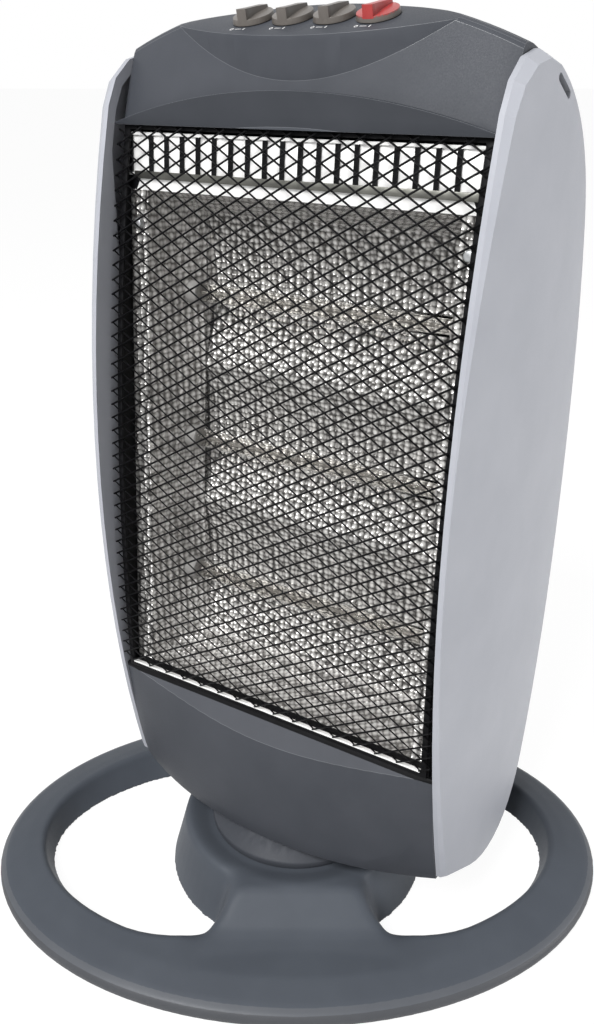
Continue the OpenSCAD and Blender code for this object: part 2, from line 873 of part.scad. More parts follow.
post_bore_r = post_r - 4;
post_low_z = 26;
shoulder_r = 45;
shoulder_z = floor_z - 2;

module pedestal() {
    color([0.24, 0.24, 0.24])
        rotate_extrude($fn = 180)
            polygon([[post_bore_r, post_low_z], [post_r, post_low_z], [post_r, dish_z + seat_gap],
                [pedestal_r, dish_z + seat_gap], [pedestal_r, dish_z + 4.5], [pedestal_r - 1, dish_z + 5.3],
                [shoulder_r + 4, shoulder_z - 2], [shoulder_r, shoulder_z], [shoulder_r - 1.5, floor_z],
                [post_bore_r, floor_z]]);
}

bearing_t = 2.7;
hub_plate_z = dish_z - wall;
retainer_r = arm_r + 6;
arm_pin_r = 3;
arm_low_z = 26;
link_low_z = 21.5;
link_high_z = 25.7;
crank_low_z = 17;
crank_high_z = 20;
crank_pin_r = 2.5;
eye_r = 6;

// Mid-swing places the arm square to the link; the pin is found for the yaw at rest
motor_p = [-arm_r, motor_back];
arm_p = arm_r * [-cos(head_yaw), -sin(head_yaw)];
link_l = sqrt(motor_back * motor_back + crank_r * crank_r * 0.25);
crank_p = crossing(arm_p, link_l, motor_p, crank_r, -1);

module pivot_bearing() {
    color([0.85, 0.85, 0.82])
        difference() {
            translate([0, 0, hub_plate_z - bearing_t])
                cylinder(h = bearing_t, r = retainer_r, $fn = 96);
            translate([0, 0, hub_plate_z - bearing_t - 1])
                cylinder(h = bearing_t + 2, r = post_r + play, $fn = 180);
        }
}

module swing_arm() {
    color([0.60, 0.61, 0.62]) {
        difference() {
            translate([0, 0, arm_low_z])
                cylinder(h = hub_plate_z - bearing_t - seat_gap - arm_low_z, r = retainer_r, $fn = 96);
            translate([0, 0, arm_low_z - 1])
                cylinder(h = 12, r = post_r + play, $fn = 180);
        }
        translate([arm_p[0], arm_p[1], link_low_z - 0.2])
            cylinder(h = arm_low_z - link_low_z + 1.2, r = arm_pin_r, $fn = 48);
    }
}

module drive_link() {
    way = crank_p - arm_p;
    color([0.80, 0.80, 0.78])
        translate([arm_p[0], arm_p[1], link_low_z])
            rotate([0, 0, heading(way)])
                difference() {
                    union() {
                        cylinder(h = link_high_z - link_low_z, r = eye_r, $fn = 64);
                        translate([link_l, 0, 0])
                            cylinder(h = link_high_z - link_low_z, r = eye_r, $fn = 64);
                        block([0, -3.5, 0], [link_l, 3.5, link_high_z - link_low_z]);
                    }
                    translate([0, 0, -1])
                        cylinder(h = 10, r = arm_pin_r + play, $fn = 48);
                    translate([link_l, 0, -1])
                        cylinder(h = 10, r = crank_pin_r + play, $fn = 48);
                }
}

module motor_crank() {
    color([0.88, 0.87, 0.83]) {
        translate([motor_p[0], motor_p[1], crank_low_z])
            cylinder(h = crank_high_z - crank_low_z, r = crank_r + 4, $fn = 96);
        translate([motor_p[0], motor_p[1], crank_low_z - 6])
            cylinder(h = 7, r = 3.5, $fn = 48);
        translate([crank_p[0], crank_p[1], crank_high_z - 1])
            cylinder(h = link_low_z - open_gap - crank_high_z + 1, r = crank_pin_r, $fn = 48);
    }
}

cover_t = 2;
cover_top_z = foot_gap + cover_t;

module swing_motor() {
    color([0.70, 0.71, 0.72])
        difference() {
            union() {
                translate([motor_p[0], motor_p[1], cover_top_z])
                    cylinder(h = crank_low_z - seat_gap - cover_top_z - 2, r = motor_r, $fn = 96);
                translate([motor_p[0], motor_p[1], cover_top_z])
                    cylinder(h = crank_low_z - seat_gap - cover_top_z, r = 7, $fn = 64);
            }
            translate([motor_p[0], motor_p[1], crank_low_z - 6 - seat_gap])
                cylinder(h = 10, r = 3.5 + play, $fn = 48);
        }
}

plunger_p = [40, -34];
plunger_r = 4;
// The plunger stays this deep in its bore when it has dropped
plunger_guide = 7;
plunger_top_z = cover_top_z + plunger_travel + plunger_guide;

module tip_plunger() {
    color([0.85, 0.83, 0.75])
        translate([plunger_p[0], plunger_p[1], 0])
            cylinder(h = plunger_top_z, r = plunger_r, $fn = 48);
}

module tip_switch() {
    color([0.12, 0.12, 0.13])
        difference() {
            block([plunger_p[0] - 10, plunger_p[1] - 8, cover_top_z],
                [plunger_p[0] + 10, plunger_p[1] + 8, plunger_top_z + 5]);
            translate([plunger_p[0], plunger_p[1], cover_top_z - 1])
                cylinder(h = plunger_top_z + seat_gap - cover_top_z + 1, r = plunger_r + 0.1, $fn = 48);
        }
}

// ---- Base ----

base_a = base_w / 2;
base_b = base_d / 2;
ring_a = base_a - ring_end_w;
ring_b = base_b - ring_front_w;
bridge_half_w = 38;
bridge_foot_w = 52;
tip_x = 50;
tip_fill = 13.3;
fill_x = 105;
fill_power = 1.6;

// Half axes and height of each corner of the ring's cut, from the outer foot over the top and back below
ring_rows = [
    [base_a - 3, base_b - 3, foot_gap],
    [base_a - 0.8, base_b - 0.8, foot_gap + 2.2],
    [base_a, base_b, 7],
    [base_a - 1.3, base_b - 1.7, 10.2],
    [base_a - 5.5, base_b - 7.5, 13],
    [(base_a + ring_a) / 2 - 2.7, (base_b + ring_b) / 2 - 3.7, (13 + ring_h) / 2 + 0.9],
    [ring_a + 3, ring_b + 3.5, ring_h - 0.2],
    [ring_a + 0.8, ring_b + 1, ring_h - 1],
    [ring_a, ring_b, ring_h - 2.6],
    [ring_a - 4.5, ring_b - 13.5, foot_gap],
    [ring_a - 4.5 + wall, ring_b - 13.5 + wall, foot_gap],
    [ring_a + wall, ring_b + wall, ring_h - 2.6 - wall],
    [base_a - 9, base_b - 11, 13 - wall],
    [base_a - wall - 1.5, base_b - wall - 1.5, 7],
    [base_a - wall - 3, base_b - wall - 3, foot_gap]];
ring_steps = 96;

// Point of the ring's cut number k at angle a; the inner rows flatten towards the wider bridges
function ring_point(row, k, a) =
    let (x = row[0] * cos(a), y = row[1] * sin(a),
         near = max(fill_x - max(abs(x), tip_x), 0) / (fill_x - tip_x),
         fill = k >= 6 && k <= 11 ? tip_fill * pow(near, fill_power) : 0)
    [x, y - sign(y) * min(fill, abs(y)), row[2]];

module ring() {
    n = len(ring_rows);
    points = [for (i = [0:ring_steps - 1]) for (k = [0:n - 1])
        ring_point(ring_rows[k], k, 360 * i / ring_steps)];
    faces = [for (i = [0:ring_steps - 1]) for (k = [0:n - 1])
        let (j = (i + 1) % ring_steps, m = (k + 1) % n)
        each [[i * n + k, i * n + m, j * n + m], [i * n + k, j * n + m, j * n + k]]];
    polyhedron(points = points, faces = faces);
}

// Cuts of a bridge from the hub's rim down to the ring: distance, half width above and below, height
bridge_rows = [
    [56, bridge_half_w, bridge_foot_w - 2, hub_h - 0.6],
    [hub_rim_r - 1, bridge_half_w, bridge_foot_w, hub_h - 0.6],
    [hub_rim_r + 3, bridge_half_w + 1.5, bridge_foot_w, hub_h - 2.6],
    [hub_rim_r + 8, bridge_half_w + 4.5, bridge_foot_w, hub_h - 7],
    [hub_rim_r + 13, bridge_half_w + 8.5, bridge_foot_w + 0.5, ring_h + 7.6],
    [hub_rim_r + 18, bridge_half_w + 14, bridge_foot_w + 2, ring_h + 3.4],
    [hub_rim_r + 24, bridge_half_w + 20, bridge_foot_w + 6, ring_h + 0.9],
    [hub_rim_r + 32, bridge_half_w + 26, bridge_foot_w + 12, ring_h - 1.2]];

// Bridge at the front, drawn in by t
module bridge(t) {
    cuts = [for (r = bridge_rows)
        let (w = r[1] - t, f = r[2] - t, h = r[3] - t, y = -r[0] + (r[0] > hub_rim_r ? t : 0))
        [[-f, y, foot_gap - t], [-w - 3.5, y, h - 5], [-w - 1.5, y, h - 1.4], [-w + 2, y, h],
         [w - 2, y, h], [w + 1.5, y, h - 1.4], [w + 3.5, y, h - 5], [f, y, foot_gap - t]]];
    n = len(cuts[0]);
    last = n * (len(cuts) - 1);
    polyhedron(points = [for (c = cuts) each c],
        faces = concat(
            [for (i = [0:len(cuts) - 2]) for (k = [0:n - 1]) let (a = i * n + k, b = i * n + (k + 1) % n)
                each [[a, b, b + n], [a, b + n, a + n]]],
            [[for (k = [0:n - 1]) n - 1 - k], [for (k = [0:n - 1]) last + k]]));
}

module hub() {
    rotate_extrude($fn = 180)
        polygon([[hub_foot_r, foot_gap], [hub_rim_r + 1.5, hub_h - 3], [hub_rim_r, hub_h - 0.8],
            [hub_rim_r - 2.5, hub_h], [hub_rim_r - 6, hub_h - 0.6], [pedestal_r + 3, dish_z],
            [post_r + seat_gap, dish_z], [post_r + seat_gap, hub_plate_z],
            [hub_rim_r - 5, hub_plate_z], [hub_foot_r - wall, foot_gap]]);
}

module foot_place(i) {
    translate([(i % 2 == 0 ? -1 : 1) * base_a * 0.75, (i < 2 ? -1 : 1) * base_b * 0.51, 0])
        children();
}

boss_top_z = ring_h - 7;

module base_shell() {
    color([0.33, 0.36, 0.40])
        difference() {
            union() {
                difference() {
                    union() {
                        ring();
                        bridge(0);
                        rotate([0, 0, 180])
                            bridge(0);
                    }
                    bridge(wall);
                    rotate([0, 0, 180])
                        bridge(wall);
                    translate([0, 0, foot_gap - 1])
                        cylinder(h = hub_plate_z - foot_gap + 1, r1 = hub_foot_r - wall, r2 = hub_rim_r - 5, $fn = 96);
                    translate([0, 0, dish_z - 3])
                        cylinder(h = 20, r1 = hub_rim_r - 6, r2 = hub_rim_r + 1, $fn = 96);
                }
                hub();
                for (i = [0:3])
                    foot_place(i)
                        translate([0, 0, foot_gap + 2])
                            cylinder(h = boss_top_z - foot_gap - 2, r = foot_d / 2 - 2, $fn = 24);
            }
        }
}

module base_foot(i) {
    color([0.08, 0.08, 0.08])
        foot_place(i)
            cylinder(h = foot_gap + 2, d = foot_d, $fn = 48);
}

module foot_front_left() base_foot(0);
module foot_front_right() base_foot(1);
module foot_back_left() base_foot(2);
module foot_back_right() base_foot(3);

module base_cover() {
    color([0.20, 0.21, 0.23])
        difference() {
            translate([0, 0, foot_gap])
                cylinder(h = cover_t, r = hub_foot_r - wall - 1.6, $fn = 120);
            translate([plunger_p[0], plunger_p[1], 0])
                cylinder(h = 10, r = plunger_r + 0.1, $fn = 48);
        }
}

// ---- Which piece is drawn ----

base_shell();
base_cover();
foot_front_left();
foot_front_right();
foot_back_left();
foot_back_right();
pivot_bearing();
swing_motor();
tip_switch();
tip_plunger();
motor_crank();
drive_link();
swing_arm();
pedestal();
head_floor();
side_left();
side_right();
hood();
lower_panel();
rear_cover();
cable_inlet();
chassis_left();
chassis_right();
heat_shield();
reflector();
vent_comb();
guard_frame();
guard_mesh();
guard_buttons();
lamp_tubes();
lamp_filaments();
lamp_caps();
thermal_cutout();
terminal_block();
switch_swing();
switch_heat_1();
switch_heat_2();
switch_heat_3();
knob_swing();
knob_heat_1();
knob_heat_2();
knob_heat_3();
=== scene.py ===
# Oscillating halogen heater on an oval base, dressed for rendering. Metres, +Z up.
import json
import math

import bmesh
import bpy
from mathutils import Matrix, Vector

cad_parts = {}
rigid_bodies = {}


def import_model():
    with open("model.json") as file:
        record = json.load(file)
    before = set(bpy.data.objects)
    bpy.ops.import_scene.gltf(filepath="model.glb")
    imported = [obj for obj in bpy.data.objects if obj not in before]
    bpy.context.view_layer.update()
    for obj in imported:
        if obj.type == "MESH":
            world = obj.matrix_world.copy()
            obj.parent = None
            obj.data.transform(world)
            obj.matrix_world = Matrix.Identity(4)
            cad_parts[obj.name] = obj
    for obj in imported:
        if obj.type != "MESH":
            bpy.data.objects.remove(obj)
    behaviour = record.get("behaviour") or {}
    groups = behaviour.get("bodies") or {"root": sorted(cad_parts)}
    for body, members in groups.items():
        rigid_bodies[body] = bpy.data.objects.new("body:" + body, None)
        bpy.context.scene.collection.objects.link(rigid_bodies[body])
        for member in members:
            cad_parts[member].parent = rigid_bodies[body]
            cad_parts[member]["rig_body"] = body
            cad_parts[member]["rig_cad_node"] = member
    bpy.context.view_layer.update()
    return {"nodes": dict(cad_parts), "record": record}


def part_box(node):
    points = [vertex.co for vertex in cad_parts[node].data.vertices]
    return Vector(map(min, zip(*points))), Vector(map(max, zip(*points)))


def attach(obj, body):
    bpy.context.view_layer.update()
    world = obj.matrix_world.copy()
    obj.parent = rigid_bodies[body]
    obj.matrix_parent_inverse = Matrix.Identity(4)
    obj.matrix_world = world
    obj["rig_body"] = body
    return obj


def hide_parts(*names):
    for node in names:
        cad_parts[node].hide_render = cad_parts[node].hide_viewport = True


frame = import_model()
bodyOf = {n: b for b, ns in frame["record"]["behaviour"]["bodies"].items() for n in ns}
slotOf = {p["node"]: p["material_slot"] for p in frame["record"]["subparts"]}
print("frame loaded:", len(frame["nodes"]), "nodes")

# The head stands turned about +Z; headSpace takes right, back and up of the head to the frame
headYaw = math.radians(-33)
headSpace = Matrix.Rotation(headYaw, 4, "Z")
toHead = headSpace.inverted()
toHeadTurn = toHead.to_3x3()


def newMaterial(name):
    mat = bpy.data.materials.new(name)
    mat.use_nodes = True
    mat.node_tree.nodes.clear()
    return mat, mat.node_tree.nodes, mat.node_tree.links


def setSockets(shader, values):
    for socket, value in values.items():
        shader.inputs[socket].default_value = value


def objectCoordinates(nodes):
    return nodes.new("ShaderNodeTexCoord").outputs["Object"]


def noise(nodes, links, vector, scale, detail=3):
    tex = nodes.new("ShaderNodeTexNoise")
    setSockets(tex, {"Scale": scale, "Detail": detail, "Roughness": 0.55})
    links.new(vector, tex.inputs["Vector"])
    return tex.outputs["Fac"]


def spread(nodes, links, value, low, high, fromLow=0.3, fromHigh=0.7):
    ramp = nodes.new("ShaderNodeMapRange")
    setSockets(ramp, {"From Min": fromLow, "From Max": fromHigh, "To Min": low, "To Max": high})
    links.new(value, ramp.inputs["Value"])
    return ramp.outputs["Result"]


def tint(nodes, links, value, dark, light):
    mix = nodes.new("ShaderNodeMix")
    mix.data_type = "RGBA"
    links.new(value, mix.inputs["Factor"])
    mix.inputs["A"].default_value = (*dark, 1)
    mix.inputs["B"].default_value = (*light, 1)
    return mix.outputs["Result"]


def plastic(name, dark, light, roughness, grain, grainDepth=0.00003, patch=30, shine=0.5):
    # grained moulding, mottled between two tones; grain and patch are noise scales
    mat, nodes, links = newMaterial(name)
    out = nodes.new("ShaderNodeOutputMaterial")
    shader = nodes.new("ShaderNodeBsdfPrincipled")
    setSockets(shader, {"IOR": 1.46, "Specular IOR Level": shine})
    where = objectCoordinates(nodes)
    cloud = noise(nodes, links, where, patch)
    fine = noise(nodes, links, where, grain, 2)
    links.new(tint(nodes, links, spread(nodes, links, cloud, 0, 1), dark, light), shader.inputs["Base Color"])
    links.new(spread(nodes, links, fine, roughness - 0.05, roughness + 0.07), shader.inputs["Roughness"])
    bump = nodes.new("ShaderNodeBump")
    setSockets(bump, {"Strength": 0.35, "Distance": grainDepth})
    links.new(fine, bump.inputs["Height"])
    links.new(bump.outputs["Normal"], shader.inputs["Normal"])
    links.new(shader.outputs["BSDF"], out.inputs["Surface"])
    return mat


def metal(name, dark, light, roughness, patch, depth=0.0001, metallic=1.0, shine=0.5):
    # sheet or wire, mottled between two tones; patch is a noise scale
    mat, nodes, links = newMaterial(name)
    out = nodes.new("ShaderNodeOutputMaterial")
    shader = nodes.new("ShaderNodeBsdfPrincipled")
    setSockets(shader, {"Metallic": metallic, "Specular IOR Level": shine})
    where = objectCoordinates(nodes)
    cloud = noise(nodes, links, where, patch)
    fine = noise(nodes, links, where, patch * 12, 2)
    links.new(tint(nodes, links, spread(nodes, links, cloud, 0, 1), dark, light), shader.inputs["Base Color"])
    links.new(spread(nodes, links, fine, roughness - 0.06, roughness + 0.08), shader.inputs["Roughness"])
    bump = nodes.new("ShaderNodeBump")
    setSockets(bump, {"Strength": 0.3, "Distance": depth})
    links.new(fine, bump.inputs["Height"])
    links.new(bump.outputs["Normal"], shader.inputs["Normal"])
    links.new(shader.outputs["BSDF"], out.inputs["Surface"])
    return mat


# Edge and middle are the distances from a dimple's centre, squared, where its two tones are reached: painted
# shade at the edge, a painted highlight in the middle
dimple = {
    "scale": 290,
    "randomness": 0.3,
    "edge": 0.42,
    "middle": 0.02,
    "depth": 0.0022,
}


def hammeredSheet(name, edge, middle):
    # bright sheet with round dimples about 3.4 mm apart, with a painted highlight in their middles and
    # painted shade towards their edges
    mat, nodes, links = newMaterial(name)
    out = nodes.new("ShaderNodeOutputMaterial")
    shader = nodes.new("ShaderNodeBsdfPrincipled")
    setSockets(shader, {"Metallic": 0.55, "Roughness": 0.24})
    where = objectCoordinates(nodes)
    cells = nodes.new("ShaderNodeTexVoronoi")
    cells.feature = "F1"
    setSockets(cells, {"Scale": dimple["scale"], "Randomness": dimple["randomness"]})
    links.new(where, cells.inputs["Vector"])
    bowl = nodes.new("ShaderNodeMath")
    bowl.operation = "POWER"
    bowl.inputs[1].default_value = 2.0
    links.new(cells.outputs["Distance"], bowl.inputs[0])
    tone = spread(nodes, links, bowl.outputs[0], 0, 1, dimple["edge"], dimple["middle"])
    links.new(tint(nodes, links, tone, edge, middle), shader.inputs["Base Color"])
    bump = nodes.new("ShaderNodeBump")
    setSockets(bump, {"Strength": 1.0, "Distance": dimple["depth"]})
    links.new(bowl.outputs[0], bump.inputs["Height"])
    links.new(bump.outputs["Normal"], shader.inputs["Normal"])
    links.new(shader.outputs["BSDF"], out.inputs["Surface"])
    return mat


def quartzGlass(name):
    mat, nodes, links = newMaterial(name)
    out = nodes.new("ShaderNodeOutputMaterial")
    shader = nodes.new("ShaderNodeBsdfPrincipled")
    # the low IOR keeps the tubes as faint behind the mesh as they look in the photograph
    setSockets(shader, {"Base Color": (0.97, 0.96, 0.94, 1), "Roughness": 0.04, "IOR": 1.12,
                        "Transmission Weight": 1.0})
    links.new(shader.outputs["BSDF"], out.inputs["Surface"])
    return mat


finishes = {
    "base_plastic": plastic("basePlastic", (0.060, 0.068, 0.082), (0.068, 0.077, 0.092), 0.52, 1300,
                            shine=0.2),
    "cover_plastic": plastic("coverPlastic", (0.035, 0.036, 0.038), (0.045, 0.046, 0.048), 0.55, 1200),
    "slate_plastic": plastic("slatePlastic", (0.045, 0.049, 0.058), (0.054, 0.058, 0.068), 0.52, 1500,
                             shine=0.2),
    "silver_plastic": plastic("silverPlastic", (0.335, 0.345, 0.38), (0.365, 0.375, 0.41), 0.42, 2200,
                              grainDepth=0.00001, patch=25, shine=0.3),
    "taupe_plastic": plastic("taupePlastic", (0.098, 0.087, 0.078), (0.122, 0.109, 0.098), 0.36, 1500),
    "red_plastic": plastic("redPlastic", (0.30, 0.024, 0.024), (0.36, 0.034, 0.032), 0.32, 1500),
    "nylon": plastic("naturalNylon", (0.62, 0.60, 0.55), (0.70, 0.68, 0.62), 0.45, 900),
    "black_steel": metal("blackSteel", (0.003, 0.003, 0.0035), (0.006, 0.006, 0.007), 0.5, 80,
                         metallic=0.0, shine=0.1),
    "zinc_steel": metal("zincSteel", (0.42, 0.43, 0.44), (0.60, 0.61, 0.62), 0.36, 70),
    "mirror_aluminium": hammeredSheet("hammeredAluminium", (0.125, 0.12, 0.115), (0.86, 0.845, 0.82)),
    "quartz": quartzGlass("quartzGlass"),
    "tungsten": metal("tungstenWire", (0.34, 0.33, 0.31), (0.50, 0.48, 0.46), 0.4, 500),
    "steatite": plastic("steatite", (0.24, 0.235, 0.225), (0.31, 0.30, 0.29), 0.6, 800),
    "rubber": plastic("blackRubber", (0.012, 0.012, 0.012), (0.022, 0.022, 0.022), 0.7, 700),
}
# Painted highlights: rounded moulding edges a little lighter than the grained faces beside them, and a
# near-white aluminium whose brightness is partly painted reflection
paintedHighlights = {
    "slate_plastic": plastic("slateEdgeHighlight", (0.085, 0.090, 0.100), (0.105, 0.110, 0.122), 0.32, 1500, 0.00001),
    "silver_plastic": plastic("silverEdgeHighlight", (0.46, 0.48, 0.52), (0.50, 0.52, 0.56), 0.3, 2200, 0.00001),
    "cover_plastic": plastic("coverEdgeHighlight", (0.10, 0.10, 0.10), (0.13, 0.13, 0.13), 0.3, 1200, 0.00001),
    "taupe_plastic": plastic("taupeEdgeHighlight", (0.20, 0.185, 0.170), (0.25, 0.235, 0.220), 0.3, 1500, 0.00001),
    "mirror_aluminium": metal("brightAluminiumPaintedReflection", (0.93, 0.925, 0.915), (0.97, 0.965, 0.955), 0.38, 40,
                              depth=0.00003, metallic=0.3),
}
# Faces painted apart: painted shade on the brow, painted light on the facet, a greyer side and a painted
# highlight along the rim of the base, hammered walls painted lighter where less light reaches them, a grey
# ledge and white print
browShade = plastic("browPaintedShade", (0.029, 0.032, 0.038), (0.035, 0.038, 0.045), 0.52, 1500, shine=0.2)
facetLight = plastic("facetPaintedLight", (0.058, 0.062, 0.072), (0.068, 0.072, 0.083), 0.5, 1500, shine=0.25)
baseSide = plastic("baseSide", (0.060, 0.063, 0.070), (0.068, 0.071, 0.078), 0.5, 1300, shine=0.25)
baseRimHighlight = plastic("baseRimHighlight", (0.080, 0.086, 0.098), (0.090, 0.096, 0.108), 0.45, 1300, shine=0.3)
wallSheet = hammeredSheet("hammeredWalls", (0.26, 0.25, 0.24), (0.98, 0.965, 0.94))
ledgeGrey = metal("ledgeGrey", (0.13, 0.13, 0.12), (0.20, 0.20, 0.18), 0.45, 60)
printInk = plastic("printInk", (0.74, 0.74, 0.74), (0.82, 0.82, 0.82), 0.5, 900)
print("materials:", len(bpy.data.materials))


weldDistance = 0.00002
creaseAngle = math.radians(30)  # edges sharper than this stay sharp when a piece is shaded smooth


def selectOnly(piece):
    if bpy.context.object and bpy.context.object.mode != "OBJECT":
        bpy.ops.object.mode_set(mode="OBJECT")
    bpy.ops.object.select_all(action="DESELECT")
    piece.select_set(True)
    bpy.context.view_layer.objects.active = piece


def applyModifier(piece, kind, **values):
    selectOnly(piece)
    mod = piece.modifiers.new(kind.lower(), kind)
    for key, value in values.items():
        setattr(mod, key, value)
    bpy.ops.object.modifier_apply(modifier=mod.name)


def finishPiece(piece, slot, body, *nodes):
    piece.data.materials.clear()
    piece.data.materials.append(finishes[slot])
    if nodes:
        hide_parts(*nodes)
    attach(piece, body)


def mergedCopy(nodeName, pieceName, dissolve=0.6):
    # a welded copy of a CAD node, with faces that differ by less than dissolve degrees joined up
    node = frame["nodes"][nodeName]
    piece = node.copy()
    piece.data = node.data.copy()
    piece.name = pieceName
    piece.parent = None
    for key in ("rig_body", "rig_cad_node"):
        if key in piece:
            del piece[key]
    bpy.context.scene.collection.objects.link(piece)
    selectOnly(piece)
    bpy.ops.object.mode_set(mode="EDIT")
    bpy.ops.mesh.select_all(action="SELECT")
    bpy.ops.mesh.remove_doubles(threshold=weldDistance)
    if dissolve:
        bpy.ops.mesh.dissolve_limited(angle_limit=math.radians(dissolve))
    bpy.ops.object.mode_set(mode="OBJECT")
    return piece


def roundEdges(piece, width, segments, angle, highlightSlot=None):
    # rounds the edges sharper than angle in degrees; with an edge slot given they take that slot's painted
    # edge highlight
    if highlightSlot:
        piece.data.materials.append(paintedHighlights[highlightSlot])
    applyModifier(piece, "BEVEL", width=width, segments=segments, limit_method="ANGLE",
                  angle_limit=math.radians(angle), harden_normals=False, use_clamp_overlap=True,
                  material=1 if highlightSlot else -1)
    selectOnly(piece)
    bpy.ops.object.shade_smooth_by_angle(angle=creaseAngle)


def paintFaces(piece, index, test):
    # gives material number index to the faces whose middle c and normal n pass the test
    for face in piece.data.polygons:
        if test(face.center, face.normal):
            face.material_index = index


def addFinish(piece, finish):
    # returns the material number for paintFaces
    piece.data.materials.append(finish)
    return len(piece.data.materials) - 1


def cutAcross(piece, space, place, normal):
    # divides the piece's faces along a plane given in space, so that each side can take its own finish
    selectOnly(piece)
    bpy.ops.object.mode_set(mode="EDIT")
    bpy.ops.mesh.select_all(action="SELECT")
    bpy.ops.mesh.bisect(plane_co=space @ Vector(place), plane_no=space.to_3x3() @ Vector(normal))
    bpy.ops.object.mode_set(mode="OBJECT")


def bevelAll(width):
    # rounds every edge of the active piece
    bpy.ops.object.mode_set(mode="EDIT")
    bpy.ops.mesh.select_all(action="SELECT")
    bpy.ops.mesh.bevel(offset=width, segments=2, affect="EDGES")
    bpy.ops.object.mode_set(mode="OBJECT")


def settle(piece, space):
    # takes the selected piece from the origin to space and writes that into its mesh
    piece.matrix_world = space
    bpy.ops.object.transform_apply(location=True, rotation=True, scale=True)


def joinParts(parts, name):
    # joins all parts into the first one
    bpy.ops.object.select_all(action="DESELECT")
    for part in parts:
        part.select_set(True)
    bpy.context.view_layer.objects.active = parts[0]
    bpy.ops.object.join()
    piece = bpy.context.object
    piece.name = name
    return piece


# Every CAD node takes the finish of its slot, and those in roundings get a rounded copy in their place
for name, node in frame["nodes"].items():
    node.data.materials.clear()
    node.data.materials.append(finishes[slotOf[name]])

# Node: name of its dressed piece, edge rounding in metres, least angle in degrees of a rounded edge
roundings = {
    "pedestal": ("pedestalDisc", 0.0008, 32),
    "side_left": ("leftSidePanel", 0.0010, 32),
    "side_right": ("rightSidePanel", 0.0010, 32),
    "hood": ("hoodMoulding", 0.0012, 16),
    "lower_panel": ("lowerPanel", 0.0006, 15),
    "rear_cover": ("rearShell", 0.0004, 32),
    "reflector": ("reflectorSheet", 0.0003, 32),
    "vent_comb": ("ventComb", 0.0002, 32),
    "guard_frame": ("guardSurround", 0.0003, 32),
    "cable_inlet": ("cableBush", 0.0003, 32),
    "lamp_tubes": ("quartzTubes", 0.0003, 32),
    "lamp_caps": ("ceramicEnds", 0.0008, 32),
    "guard_buttons": ("guardRivets", 0.0005, 32),
    "swing_motor": ("swingMotor", 0.0006, 32),
    "switch_swing": ("swingSwitch", 0.0004, 32),
    "switch_heat_1": ("firstHeatSwitch", 0.0004, 32),
    "switch_heat_2": ("secondHeatSwitch", 0.0004, 32),
    "switch_heat_3": ("thirdHeatSwitch", 0.0004, 32),
    "terminal_block": ("terminalBlock", 0.0004, 32),
    "tip_switch": ("tipSwitch", 0.0005, 32),
    "foot_front_left": ("leftFrontFoot", 0.0005, 32),
    "foot_front_right": ("rightFrontFoot", 0.0005, 32),
    "foot_back_left": ("leftBackFoot", 0.0005, 32),
    "foot_back_right": ("rightBackFoot", 0.0005, 32),
}


sidePanel = {
    "bevelStart": 0.1146,
    "rounding": 0.0018,
    "leastAngle": 9,
}


def roundPanelSide(piece, values):
    # rounds the outer bevel of a side panel widely
    selectOnly(piece)
    bpy.ops.object.mode_set(mode="EDIT")
    bpy.ops.mesh.select_mode(type="EDGE")
    bpy.ops.mesh.select_all(action="DESELECT")
    mesh = bmesh.from_edit_mesh(piece.data)
    for edge in mesh.edges:
        middle = toHead @ ((edge.verts[0].co + edge.verts[1].co) / 2)
        sharp = len(edge.link_faces) == 2 and edge.calc_face_angle(0) > math.radians(values["leastAngle"])
        edge.select_set(abs(middle.x) > values["bevelStart"] and sharp)
    bmesh.update_edit_mesh(piece.data)
    bpy.ops.mesh.bevel(offset=values["rounding"], segments=4, affect="EDGES", clamp_overlap=True)
    bpy.ops.object.mode_set(mode="OBJECT")


pieces = {}
for nodeName, (pieceName, width, angle) in roundings.items():
    slot = slotOf[nodeName]
    piece = mergedCopy(nodeName, pieceName)
    finishPiece(piece, slot, bodyOf[nodeName], nodeName)
    if slot == "silver_plastic":
        roundPanelSide(piece, sidePanel)
    # a painted highlight goes on the rounded edges of pieces whose slot has one, except the reflector and the
    # rear cover
    edgeHighlighted = slot in paintedHighlights and nodeName not in ("reflector", "rear_cover")
    roundEdges(piece, width, 2, angle, slot if edgeHighlighted else None)
    if nodeName in ("rear_cover", "side_left", "side_right"):
        # long thin faces beside the louvres and the panels' outlines would shade in streaks
        applyModifier(piece, "WEIGHTED_NORMAL", keep_sharp=True)
    pieces[nodeName] = piece
print("rounded pieces:", len(pieces))


brow = {
    "heights": (0.463, 0.4826),
    "facing": -0.9,
    "lean": -0.05,
}
facet = {
    "foot": 0.112,
    "facing": (-0.86, -0.80),
    "slope": (0.5, 0.6),
    "trimFoot": 0.1293,
}


def paintBrow(piece, values):
    # the visor over the guard leans back towards its foot; its faces take painted shade, darker than the rest
    # of the hood
    low, high = values["heights"]

    def onBrow(c, n):
        way = toHeadTurn @ n
        return low < (toHead @ c).z < high and way.y < values["facing"] and way.z < values["lean"]

    paintFaces(piece, addFinish(piece, browShade), onBrow)


def paintFacet(piece, values):
    # the sloping facet between the guard and the lower panel's crease takes painted light, lighter than the
    # panel around it
    def onFacet(c, n):
        way = toHeadTurn @ n
        return ((toHead @ c).z > values["foot"] and values["facing"][0] < way.y < values["facing"][1]
                and values["slope"][0] < way.z < values["slope"][1])

    paintFaces(piece, addFinish(piece, facetLight), onFacet)


paintBrow(pieces["hood"], brow)
paintFacet(pieces["lower_panel"], facet)
# the pedestal has the tone of the panel above it
for index in range(len(pieces["pedestal"].data.materials)):
    pieces["pedestal"].data.materials[index] = finishes["slate_plastic"]


